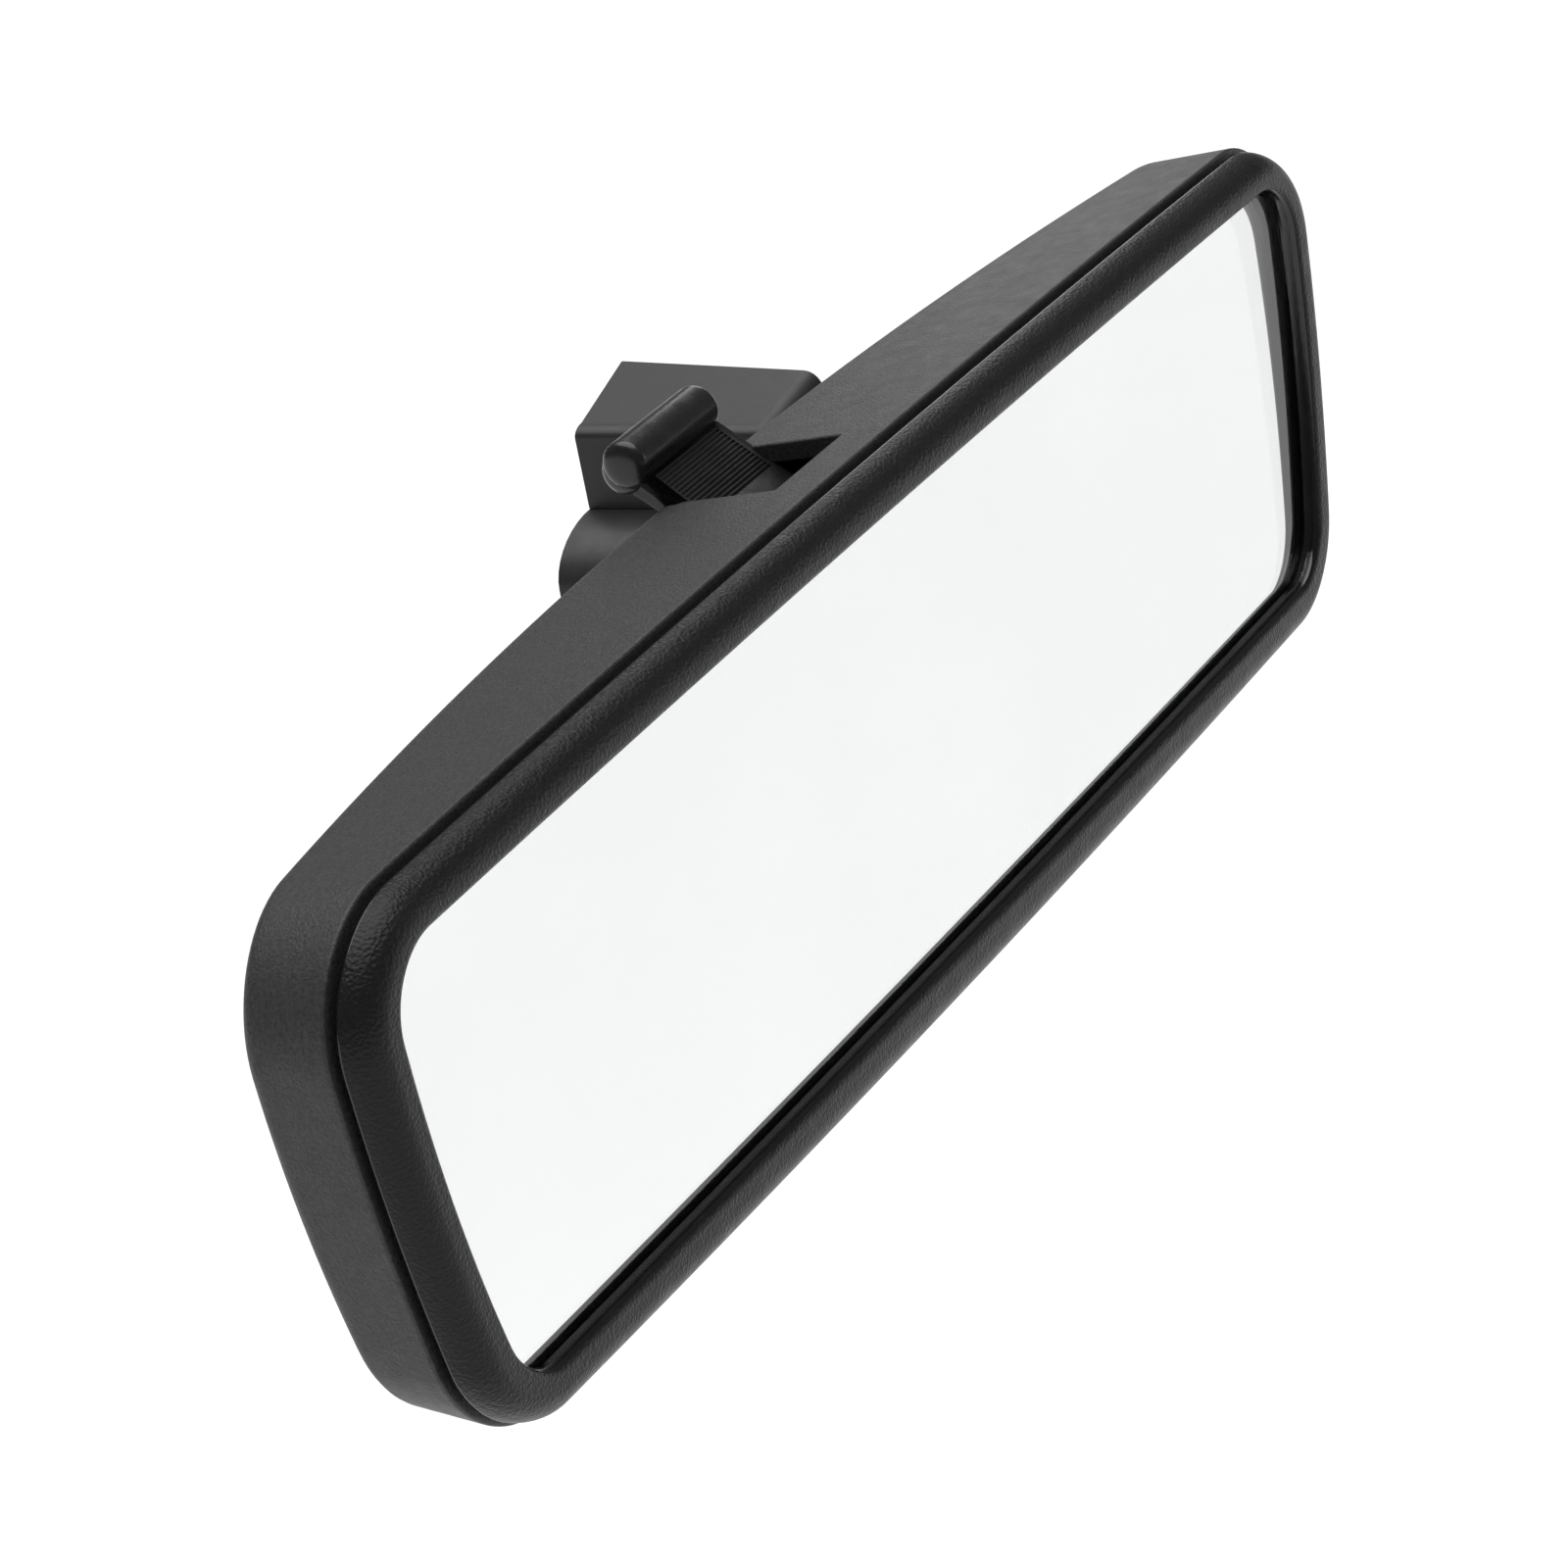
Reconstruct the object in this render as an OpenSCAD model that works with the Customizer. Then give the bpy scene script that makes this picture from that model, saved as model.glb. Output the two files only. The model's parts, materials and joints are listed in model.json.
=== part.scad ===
// Interior rearview mirror: a prismatic head that flips between day and night on a ball-jointed arm.
// Modules draw in the head's own frame: X along the head, Y towards the windscreen, Z up, with y = 0
// at the front edge of the rear housing. place() then moves everything to the row frame, whose origin
// is on the foot's windscreen face.

/* [Head] */
// Width of the head across its side walls, at mid height
head_w = 236.3; // [230:0.1:240]
// Height of the head between its top and bottom walls
head_h = 63.8; // [63:0.2:66]
// Sideways lean of the side walls, per unit of height
side_flare = 0.162; // [0.10:0.01:0.18]
// Outward bow of the top edge at mid width
crown_top = 1.6; // [0.5:0.1:2.5]
// Outward bow of the bottom edge at mid width
crown_bottom = 1.6; // [0.5:0.1:2]
// Outward bow of each side edge at mid height
crown_side = 2.1; // [0.5:0.1:3]
// Corner radius at the lever side
corner_top = 15; // [13:0.5:18]
// Corner radius at the far side
corner_bottom = 13.2; // [11:0.1:16]

/* [Rear housing] */
// Depth of the housing behind its front edge, at the centre
housing_depth = 21.4; // [20.5:0.1:23]
// Wall thickness
wall = 2.4; // [2:0.1:2.8]
// Inward draft of the walls, per unit of depth
draft = 0.115; // [0.05:0.005:0.13]
// Radius of the rounded rear edge
edge_r = 2; // [1:0.1:2.5]
// Width of the lever notch
notch_w = 21.4; // [21:0.1:23]
// Distance from the front edge to the lever notch
notch_front = 6; // [5.5:0.1:7]
// Radius of the opening that the ball socket comes out of
socket_opening_r = 15; // [14.5:0.1:16]

/* [Bezel and mirror] */
// Width of the groove between the housing and the bezel
seam_gap = 1; // [0.6:0.1:1.4]
// Height of the bezel's crest in front of the housing's front edge
bezel_h = 5.15; // [4.6:0.05:6]
// Width of the bezel's rim above the glass, from the outline to the glass
rim_w = 5.45; // [5.3:0.05:6.5]
// How much wider the rim is at the sides and below the glass
rim_extra = 1.1; // [0:0.05:1.2]
// Depth of the glass face behind the housing's front edge (negative is in front)
glass_y = -3; // [-3.5:0.1:-2.5]
// Thickness of the glass at mid height
glass_t = 2.9; // [2.6:0.1:3.2]
// Prism angle between the front and the silvered rear of the glass
prism_deg = 2.4; // [1.5:0.1:2.6]

/* [Ball joint] */
// Radius of the ball
ball_r = 8; // [7.5:0.1:8]
// Radius of the ball's neck
neck_r = 3.4; // [3:0.1:3.6]

/* [Lever] */
// Width of the lever's tab
tab_w = 18.4; // [17:0.1:19]
// Distance from the lever's pivot to the roll at its tip
tab_l = 19.85; // [17:0.05:21]
// Thickness of the tab
tab_t = 3; // [2:0.1:3.2]
// Height of the tab above level, in the day position
tab_day_deg = 37; // [32:0.5:38]
// Number of grip grooves across the tab
ridges = 14; // [8:1:14]

/* [Foot] */
// Width of the foot body
foot_w = 36; // [34:0.5:36]
// Height of the foot body
foot_h = 28.7; // [26:0.1:30]
// Depth of the foot body in front of the windscreen face
foot_d = 20; // [18:0.5:22]
// Width of the raised cover on top of the foot
cover_w = 14.9; // [12:0.1:16]
// Depth of the raised cover
cover_d = 28; // [24:0.5:28]

/* [Hidden] */
$fn = 48;
half_w = head_w / 2;
half_h = head_h / 2;
mid_z = 0.8;               // middle of the head's height
corner_steps = 8;          // segments in each corner arc
long_steps = 14;           // segments along the top and bottom edges
short_steps = 5;           // segments along the side edges
bow_x = 0.00071;           // fall of the housing's back per mm squared, sideways
bow_z = 0.001;             // the same, up and down
lean = 0.039;              // rise of the housing's back per mm of height
fit = 0.03;                // radial gap of a pressed pin
running_fit = 0.06;        // radial gap of a turning pin
pin_r = 1.5;
notch_floor = 26.5;
corner_fade = 1.25;        // loss of corner radius per mm of inset
crown_fade = [0.1, 0.19];  // loss of bow per mm of inset, along the top and the bottom

foot_face = [46.4, 61, 7]; // the row frame's origin, in the head's frame
ball_at = [0, 27, 2];
seat_r = ball_r + 1.5;     // spherical inside of the socket
shell_in = ball_r + 0.05;
shell_out = seat_r - 0.1;
cup_r = 12.5;
cup_bore_r = seat_r + 0.7;
cup_front = 9;
cup_floor = 13;
cup_rear = 31;
cap_r = 15.1;

hinge_at = [0, 9, -21];    // axis on which the head flips on its bracket
lever_at = [0, 9.2, 23.6]; // axis of the lever
finger_drop = 5.4;         // distance from the lever's axis to its finger
finger_r = 1.6;
hub_r = 3.2;
hub_w = 23.4;
lug_gap = 24;              // between the lever's two lugs
hinge_gap = 37.4;          // between the hinge's two lugs
lug_t = 2.6;
rivet_x = [-2.1, 2.1];
rivet_z = -14;
boss_front = 42.5;         // front end of the arm's boss

foot_top = 11.7;           // upper face of the foot body
cover_low = 11.75;
cover_side_top = 22.4;
cover_ridge = 26.15;       // top of the cover at the windscreen
cover_fall = 0.057;        // its fall per mm towards the front
cover_wall = 2;
slot_l = 20;
slot_mouth = 20;
slot_floor = 25;
slot_d = 5;
arm_pad = [25.3, 28.25];   // flange of the arm, against the side of the foot
arm_screw_z = [-11, 0];
arm_screw_y = 49;

// ---------- outline of the head ----------

function corner(cx, cz, r, start) =
    [for (i = [0 : corner_steps]) let (a = start + 90 * i / corner_steps) [cx + r * cos(a), cz + r * sin(a)]];

function between(p, q, steps) = [for (i = [1 : steps - 1]) p + (q - p) * i / steps];

function rounded(hw, hh, rt, rb) = concat(
    corner(hw - rt, hh - rt, rt, 0), between([hw - rt, hh], [rt - hw, hh], long_steps),
    corner(rt - hw, hh - rt, rt, 90), between([-hw, hh - rt], [-hw, rb - hh], short_steps),
    corner(rb - hw, rb - hh, rb, 180), between([rb - hw, -hh], [hw - rb, -hh], long_steps),
    corner(hw - rb, rb - hh, rb, 270), between([hw, rb - hh], [hw, hh - rt], short_steps));

// Leans the sides outwards and bows all four edges.
function crowned(p, hw, hh, inset) =
    let (u = p[0] / hw, v = p[1] / hh, edge = v > 0 ? 0 : 1)
    [p[0] * (1 + side_flare * p[1] / hw) + crown_side * u * (1 - v * v),
     p[1] + ([crown_top, crown_bottom][edge] - crown_fade[edge] * inset) * v * (1 - u * u)];

// The head's outline, moved inwards by inset, and by extra more at the sides and below.
function outline(inset, extra = 0) =
    let (hw = half_w - inset - extra, hh = half_h - inset - extra / 2)
    let (fade = corner_fade * inset, top_r = max(corner_top - fade, 2), bottom_r = max(corner_bottom - fade, 2))
    [for (p = rounded(hw, hh, top_r, bottom_r)) crowned(p, hw, hh, inset) + [0, mid_z + extra / 2]];

// ---------- lofted bodies ----------

function ring_mean(ring) = [for (p = ring) 1] * ring / len(ring);

function strip(a, b, n) = [for (i = [0 : n - 1]) let (k = (i + 1) % n)
    each [[a + i, a + k, b + k], [a + i, b + k, b + i]]];

// A solid through rings of equal length, closed by a fan at each end.
module loft(rings) {
    n = len(rings[0]);
    last = len(rings) - 1;
    first_hub = n * len(rings);
    points = [for (ring = rings) each ring, ring_mean(rings[0]), ring_mean(rings[last])];
    polyhedron(points, concat(
        [for (j = [0 : last - 1]) each strip(j * n, (j + 1) * n, n)],
        [for (i = [0 : n - 1]) [first_hub, (i + 1) % n, i]],
        [for (i = [0 : n - 1]) [first_hub + 1, last * n + i, last * n + (i + 1) % n]]));
}

// A closed band: the profile, a list of [inset, extra, y], swept round the head's outline.
module outline_band(profile) {
    n = len(outline(0));
    rows = len(profile);
    points = [for (q = profile) each [for (p = outline(q[0], q[1])) [p[0], q[2], p[1]]]];
    polyhedron(points, [for (j = [0 : rows - 1]) each strip(j * n, (j + 1) % rows * n, n)]);
}

// The outline at one inset, as a slab between two depths.
module outline_slab(inset, front, rear) {
    translate([0, rear, 0]) rotate([90, 0, 0]) linear_extrude(rear - front) polygon(outline(inset));
}

module place() { translate(-foot_face) children(); }

// A cylinder along X or along Y, centred on or starting at a point.
module rod_x(at, r, length) { translate(at) rotate([0, 90, 0]) cylinder(h = length, r = r, center = true); }
module rod_y(at, r, length) { translate(at) rotate([-90, 0, 0]) cylinder(h = length, r = r); }

module block(low, high) { translate(low) cube(high - low); }

// ---------- rear housing ----------

function back_y(p, depth) = let (h = p[1] - mid_z)
    depth - bow_x * p[0] * p[0] - bow_z * h * h + lean * h;

// A point of the wall: outline point p, taken to depth y and then inwards by extra.
function wall_point(p, y, extra) = let (k = draft * y + extra)
    [p[0] * (1 - k / half_w), y, mid_z + (p[1] - mid_z) * (1 - k / half_h)];

module housing_block(inset, front, depth) {
    edge = outline(inset);
    back_edge = [for (p = edge) wall_point(p, back_y(p, depth), edge_r)];
    wall_rings = [for (f = [0, 0.5, 1])
        [for (p = edge) wall_point(p, front + f * (back_y(p, depth) - edge_r - front), 0)]];
    round_rings = [for (a = [30, 60, 90])
        [for (p = edge) wall_point(p, back_y(p, depth) - edge_r * (1 - sin(a)), edge_r * (1 - cos(a)))]];
    back_rings = [for (s = [0.9, 0.7, 0.45, 0.2])
        [for (q = back_edge) let (p = [q[0] * s, mid_z + (q[2] - mid_z) * s]) [p[0], back_y(p, depth), p[1]]]];
    loft(concat(wall_rings, round_rings, back_rings));
}

module lug_pair(at, gap, low, high) {
    for (side = [-1, 1]) translate([side * (gap + lug_t) / 2, 0, 0])
        block([-lug_t / 2, at[1] - 3.4, low], [lug_t / 2, at[1] + 3.6, high]);
}

module rear_housing() color([0.10, 0.10, 0.105]) place() difference() {
    union() {
        difference() {
            housing_block(0, 0, housing_depth);
            housing_block(wall, -1, housing_depth - wall);
        }
        lug_pair(lever_at, lug_gap, lever_at[2] - 4, mid_z + half_h - 0.8);
        lug_pair(hinge_at, hinge_gap, mid_z - half_h + 0.8, hinge_at[2] + 4);
    }
    block([-notch_w / 2, notch_front, notch_floor], [notch_w / 2, 30, 40]);
    rod_y([0, 15, ball_at[2]], socket_opening_r, 10);
    rod_x(lever_at, pin_r + fit, 40);
    rod_x(hinge_at, pin_r + fit, 60);
}

// ---------- bezel and mirror ----------

function ellipse_arc(cx, cy, rx, ry, start, stop, steps) =
    [for (i = [0 : steps]) let (a = start + (stop - start) * i / steps) [cx + rx * cos(a), cy + ry * sin(a)]];

module bezel() {
    edge = 0.6;
    crest = 4.1;
    lip_r = 1.1;
    flange = [wall + 0.2, 4.2];
    flange_rear = 4;
    outer = ellipse_arc(crest, -seam_gap, crest - edge, bezel_h - seam_gap, 180, 270, 7);
    inner = ellipse_arc(rim_w - lip_r, lip_r - bezel_h, lip_r, lip_r, 270, 360, 4);
    profile = concat(
        [[flange[0] + draft * flange_rear, 0, flange_rear], [flange[0], 0, 0], [flange[0], 0, -seam_gap]],
        [for (q = outer) [q[0], 0, q[1]]],
        [for (q = inner) [q[0], rim_extra, q[1]]],
        [[rim_w, rim_extra, glass_y], [flange[1], 0, glass_y], [flange[1], 0, flange_rear]]);
    color([0.07, 0.07, 0.072]) place() outline_band(profile);
}

// The space between two planes that lean with the prism's silvered rear face.
module prism_layer(from, to) {
    translate([0, glass_y + glass_t, mid_z]) rotate([-prism_deg, 0, 0]) block([-150, from, -60], [150, to, 60]);
}

module mirror_glass() color([0.86, 0.88, 0.88]) place() intersection() {
    outline_slab(4.4, glass_y, 8);
    prism_layer(-20, 0);
}

module mirror_coating() color([0.8, 0.8, 0.82]) place() intersection() {
    outline_slab(4.6, glass_y, 8);
    prism_layer(0, 0.2);
}

module backing_pad() color([0.2, 0.2, 0.21]) place() intersection() {
    outline_slab(9, glass_y, 8);
    prism_layer(0.2, 1.4);
}

// ---------- pivot bracket and socket ----------

module pivot_bracket() color([0.16, 0.16, 0.17]) place() difference() {
    union() {
        block([-15, 7, hinge_at[2]], [15, 10.5, 14]);
        block([-7, 5.4, 12], [7, 7.25, 19.6]);
        block([-7, 11.15, 12], [7, 13, 19.6]);
        block([-7, 5.4, 12], [7, 13, 15.9]);
        rod_x(hinge_at, 3.4, hinge_gap - 0.6);
        rod_y([0, cup_front, ball_at[2]], cup_r, cup_rear - cup_front);
    }
    rod_y([0, cup_floor, ball_at[2]], cup_bore_r, cup_rear);
    rod_x(hinge_at, pin_r + running_fit, 60);
    for (x = rivet_x) rod_y([x, 0, rivet_z], 1.03, 12);
}

module pressure_seat() color([0.85, 0.85, 0.8]) place() difference() {
    rod_y([0, 15.2, ball_at[2]], cup_bore_r - 0.1, 11.3);
    translate(ball_at) sphere(seat_r);
}

module tension_spring() color([0.7, 0.7, 0.72]) place()
    translate([0, cup_floor, ball_at[2]]) rotate([-90, 0, 0]) rotate_extrude()
        polygon([[5.5, 0.02], [7, 0.02], [9.9, 1.45], [9.9, 2.15], [8.6, 2.15], [5.5, 0.7]]);

module socket_cap() color([0.09, 0.09, 0.09]) place() difference() {
    rod_y([0, cup_rear - 5, ball_at[2]], cap_r, 9.2);
    rod_y([0, cup_rear - 6, ball_at[2]], cup_r + fit, 6);
    translate(ball_at) sphere(seat_r);
    rod_y([0, cup_rear - 1, ball_at[2]], 7.5, 10);
    rod_y([0, ball_at[1], ball_at[2]], 8.4, 5);
    for (a = [0 : 30 : 330]) translate([0, 0, ball_at[2]]) rotate([0, a, 0])
        rod_y([cap_r + 0.4, cup_rear - 6, 0], 0.8, 12);
}

// A zone of the thin spherical shell round the ball, between two angles from its front pole.
module ball_shell(from, to) {
    steps = 20;
    angles = [for (i = [0 : steps]) from + (to - from) * i / steps];
    translate(ball_at) rotate([-90, 0, 0]) rotate_extrude() polygon(concat(
        [for (a = angles) shell_out * [sin(a), -cos(a)]],
        [for (i = [steps : -1 : 0]) shell_in * [sin(angles[i]), -cos(angles[i])]]));
}

module socket_liner() color([0.9, 0.9, 0.86]) place() ball_shell(0, 83);
module retaining_ring() color([0.75, 0.76, 0.78]) place() ball_shell(86, 124);

module leaf_spring() color([0.68, 0.69, 0.72]) place() difference() {
    union() {
        block([-4, 6.45, -17], [4, 6.98, 10]);
        rod_x([0, 5.8, 10], 1.1, 8);
    }
    for (x = rivet_x) rod_y([x, 0, rivet_z], 1.03, 12);
}

module spring_rivets() color([0.6, 0.6, 0.6]) place() for (x = rivet_x) {
    rod_y([x, 6.4, rivet_z], 1, 4.2);
    rod_y([x, 5.7, rivet_z], 1.9, 0.73);
    rod_y([x, 10.52, rivet_z], 1.9, 0.8);
}

// ---------- pins ----------

module hinge_pin() color([0.72, 0.73, 0.75]) place() rod_x(hinge_at, pin_r, 47);
module lever_pin() color([0.72, 0.73, 0.75]) place() rod_x(lever_at, pin_r, lug_gap + 2 * lug_t + 1);

module pin_clips() color([0.55, 0.56, 0.58]) place() for (side = [-1, 1]) difference() {
    rod_x(hinge_at + [side * 22, 0, 0], 2.9, 0.6);
    rod_x(hinge_at + [side * 22, 0, 0], pin_r + 0.01, 2);
    translate(hinge_at + [side * 22, 0, 2.2]) cube([2, 1.6, 3], center = true);
}

// ---------- lever ----------

module lever_upright() {
    groove_pitch = 0.565;
    groove_start = 8.9;
    groove_r = 0.18;
    roll_r = 2.9;
    nose_r = 2.8;
    roll_y = -1.8;
    nose_y = -0.35;
    roll_x = -0.85;            // the roll sits a little off the tab's middle
    end_turn = 1.6;
    difference() {
        union() {
            block([-tab_w / 2, -tab_t / 2, 0], [tab_w / 2, tab_t / 2, tab_l]);
            rod_x([roll_x, roll_y, tab_l], roll_r, tab_w - end_turn + 0.4);
            hull() {
                for (side = [-1, 1])
                    translate([roll_x + side * (tab_w / 2 - nose_r), nose_y, tab_l]) sphere(nose_r, $fn = 32);
            }
            for (side = [-1, 1]) translate([roll_x + side * (tab_w - end_turn + 0.4) / 2, roll_y, tab_l])
                rotate([0, 90 * side, 0]) cylinder(h = 1.3, r1 = roll_r, r2 = roll_r - 0.8);
        }
        for (i = [0 : ridges - 1])
            rod_x([0, -tab_t / 2, groove_start + i * groove_pitch], groove_r, tab_w - 3.8, $fn = 16);
    }
}

module lever() color([0.06, 0.06, 0.062]) place() difference() {
    union() {
        translate(lever_at) rotate([tab_day_deg - 90, 0, 0]) lever_upright();
        rod_x(lever_at, hub_r, hub_w);
        block(lever_at - [5, 1.1, finger_drop], lever_at + [5, 1.1, 0]);
        rod_x(lever_at - [0, 0, finger_drop], finger_r, 10);
    }
    rod_x(lever_at, pin_r + running_fit, 40);
}

// ---------- foot and arm ----------

module along_y(front, rear) {
    translate([0, rear, 0]) rotate([90, 0, 0]) linear_extrude(rear - front) children();
}

module foot_body() color([0.12, 0.12, 0.125]) place() difference() {
    r = 3;
    shoulder = [11, 6.7];
    low = foot_top - foot_h;
    hw = foot_w / 2;
    across = hw - shoulder[0];
    up = foot_top - shoulder[1];
    translate([foot_face[0], 0, 0]) along_y(foot_face[1] - foot_d, foot_face[1])
        polygon(concat(ellipse_arc(across, up, shoulder[0], shoulder[1], 0, 90, 9),
                       ellipse_arc(-across, up, shoulder[0], shoulder[1], 90, 180, 9),
                       ellipse_arc(r - hw, low + r, r, r, 180, 270, 6),
                       ellipse_arc(hw - r, low + r, r, r, 270, 360, 6)));
    translate([foot_face[0], foot_face[1] + 0.01, low - 0.01]) linear_extrude(slot_l)
        polygon([[-slot_mouth / 2, 0], [slot_mouth / 2, 0],
                 [slot_floor / 2, -slot_d], [-slot_floor / 2, -slot_d]]);
    rod_y([foot_face[0], foot_face[1] - 14, foot_top - foot_h / 2 - 3], 1.6, 10);
    for (z = arm_screw_z) rod_x([30, arm_screw_y, z], 1.25 + fit, 14);
    rod_y([foot_face[0], foot_face[1] - foot_d - 1, foot_top - foot_h / 2 - 3], 2.03, 10);
}

// The cover's cross-section at depth y, with its wall removed by shrink and its top lowered by drop.
function cover_section(y, drop, shrink) =
    let (left = foot_face[0] - cover_w / 2 + shrink, right = foot_face[0] + cover_w / 2 - shrink,
         low = cover_low - shrink, side_top = cover_side_top - shrink - drop,
         top = cover_ridge - cover_fall * (foot_face[1] - y) - shrink - drop)
    [[left, y, low], [right, y, low], [right, y, top - 0.5], [right - 0.5, y, top - 0.1],
     [left + 2.2, y, side_top], [left + 0.7, y, side_top - 0.4], [left, y, side_top - 1.3]];

module cover_block(shrink) {
    front = foot_face[1] - cover_d + shrink;
    rear = foot_face[1] - shrink;
    nose_r = 2.4;
    loft(concat(
        [for (a = [0 : 22.5 : 90])
            cover_section(front + nose_r * (1 - cos(a)), nose_r * (1 - sin(a)), shrink)],
        [cover_section(rear, 0, shrink)]));
}

module foot_cover() color([0.12, 0.12, 0.125]) place() difference() {
    cover_block(0);
    cover_block(cover_wall);
}

module button_clip() color([0.7, 0.71, 0.74]) place() translate([foot_face[0], foot_face[1] - slot_d, 0]) {
    block([-3, 0.02, -8], [3, 0.6, 2.5]);
    block([-3, 0.02, 1.9], [3, 4, 2.5]);
}

module retaining_screw() color([0.3, 0.3, 0.32]) place() difference() {
    rod_y([foot_face[0], foot_face[1] - foot_d - 0.6, foot_top - foot_h / 2 - 3], 2, 9);
    translate([foot_face[0], foot_face[1] - foot_d - 0.7, foot_top - foot_h / 2 - 3]) rotate([-90, 0, 0])
        cylinder(h = 2.5, r = 1.1, $fn = 6);
}

module arm() color([0.12, 0.12, 0.125]) place() difference() {
    union() {
        hull() {
            rod_y([0, boss_front, ball_at[2]], 6.5, 9);
            rod_y([9, 43.5, ball_at[2] - 1], 6.5, 9);
        }
        hull() {
            rod_y([9, 43.5, ball_at[2] - 1], 6.5, 9);
            block([arm_pad[0], 43.5, -12], [arm_pad[1], 54.5, 3]);
        }
        block([arm_pad[0], 42, -15], [arm_pad[1], 56, 4]);
    }
    rod_y([0, 42, ball_at[2]], 3 + fit, 9);
    for (z = arm_screw_z) rod_x([24, arm_screw_y, z], 1.6, 20);
    for (z = arm_screw_z) rod_x([15, arm_screw_y, z], 2.9, 18);
}

module arm_screws() color([0.5, 0.5, 0.52]) place() for (z = arm_screw_z) difference() {
    union() {
        rod_x([29, arm_screw_y, z], 1.25, 14);
        rod_x([22.9, arm_screw_y, z], 2.6, 2);
    }
    translate([21.8, arm_screw_y, z]) rotate([0, 90, 0]) cylinder(h = 1.3, r = 1.3, $fn = 6);
}

module ball_stud() color([0.78, 0.79, 0.8]) place() {
    translate(ball_at) sphere(ball_r);
    rod_y(ball_at + [0, ball_r - 2, 0], neck_r, boss_front - ball_at[1] - ball_r + 1.9);
    rod_y(ball_at + [0, ball_r + 7, 0], 3, 8.5);
}

foot_body();
foot_cover();
button_clip();
retaining_screw();
arm();
arm_screws();
ball_stud();
socket_liner();
retaining_ring();
pivot_bracket();
pressure_seat();
tension_spring();
socket_cap();
leaf_spring();
spring_rivets();
rear_housing();
bezel();
mirror_glass();
mirror_coating();
backing_pad();
hinge_pin();
lever_pin();
pin_clips();
lever();
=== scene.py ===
import json
import math

import bmesh
import bpy
from mathutils import Matrix, Vector


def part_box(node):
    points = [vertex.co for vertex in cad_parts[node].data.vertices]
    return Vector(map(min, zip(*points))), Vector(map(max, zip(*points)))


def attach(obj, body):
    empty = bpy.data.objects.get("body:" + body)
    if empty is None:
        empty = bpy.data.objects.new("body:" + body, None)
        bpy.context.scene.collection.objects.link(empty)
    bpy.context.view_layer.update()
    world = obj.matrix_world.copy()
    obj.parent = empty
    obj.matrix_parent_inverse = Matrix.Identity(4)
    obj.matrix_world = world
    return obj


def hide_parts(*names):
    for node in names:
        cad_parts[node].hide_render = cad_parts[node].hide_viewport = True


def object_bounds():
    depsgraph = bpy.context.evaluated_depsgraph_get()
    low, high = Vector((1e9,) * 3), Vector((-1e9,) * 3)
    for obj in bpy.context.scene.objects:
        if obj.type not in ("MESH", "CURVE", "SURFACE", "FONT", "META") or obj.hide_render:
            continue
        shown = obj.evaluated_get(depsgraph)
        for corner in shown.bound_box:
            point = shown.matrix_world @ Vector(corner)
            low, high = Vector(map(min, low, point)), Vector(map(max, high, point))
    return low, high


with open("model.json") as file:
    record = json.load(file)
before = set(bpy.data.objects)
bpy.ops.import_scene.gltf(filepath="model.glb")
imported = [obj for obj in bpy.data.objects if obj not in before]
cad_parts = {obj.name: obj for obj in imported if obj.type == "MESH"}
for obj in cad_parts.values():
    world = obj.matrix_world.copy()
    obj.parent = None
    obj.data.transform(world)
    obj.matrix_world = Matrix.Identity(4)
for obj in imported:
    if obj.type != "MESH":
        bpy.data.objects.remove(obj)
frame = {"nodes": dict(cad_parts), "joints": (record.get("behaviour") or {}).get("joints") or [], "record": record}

# The visual model of an interior rearview mirror, built round the CAD frame.
# Shapes are worked out in millimetres in the head's own frame, as in the CAD source: X along the head,
# Y towards the windscreen, Z up, with y = 0 at the rear housing's front edge. metres() takes them to
# the row frame.

MM = 0.001
CAD_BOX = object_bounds()
JOINTS = {joint["name"]: Vector(joint["pos_m"]) for joint in frame["joints"]}


def millimetre_box(node):
    """Lowest and highest corner of a CAD node, in millimetres in the head's frame."""
    low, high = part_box(node)
    return (low - HEAD_ORIGIN) / MM, (high - HEAD_ORIGIN) / MM


def in_head(point):
    """A point of the row frame, in millimetres in the head's frame."""
    return (Vector(point) - HEAD_ORIGIN) / MM


def metres(x, y, z):
    """A point of the head's frame, in metres in the row frame."""
    return HEAD_ORIGIN + Vector((x, y, z)) * MM


# ---------- sizes ----------

BALL_HEIGHT = 2.0            # of the ball's centre above the head frame's middle plane
HEAD_ORIGIN = Vector((JOINTS["ball_swivel"].x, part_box("rear_housing")[0].y,
                      JOINTS["ball_swivel"].z - BALL_HEIGHT * MM))

HOUSING_LOW, HOUSING_HIGH = millimetre_box("rear_housing")
BEZEL_LOW, BEZEL_HIGH = millimetre_box("bezel")
COVER_LOW, COVER_HIGH = millimetre_box("foot_cover")
BALL_AT = in_head(JOINTS["ball_swivel"])
HINGE_AT = in_head(JOINTS["head_flip"])
LEVER_AT = in_head(JOINTS["lever_flip"])

# Outline of the head, as the CAD source states it.
CROWN_TOP = 1.6
CROWN_BOTTOM = 1.6
CROWN_SIDE = 2.1
SIDE_FLARE = 0.162
CORNER_TOP = 15.0
CORNER_BOTTOM = 13.2
CORNER_FADE = 1.25
CROWN_FADE_TOP = 0.1
CROWN_FADE_BOTTOM = 0.19
HALF_W = 118.08
HALF_H = (HOUSING_HIGH.z - HOUSING_LOW.z - CROWN_TOP - CROWN_BOTTOM) / 2
MID_Z = HOUSING_LOW.z + CROWN_BOTTOM + HALF_H

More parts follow.
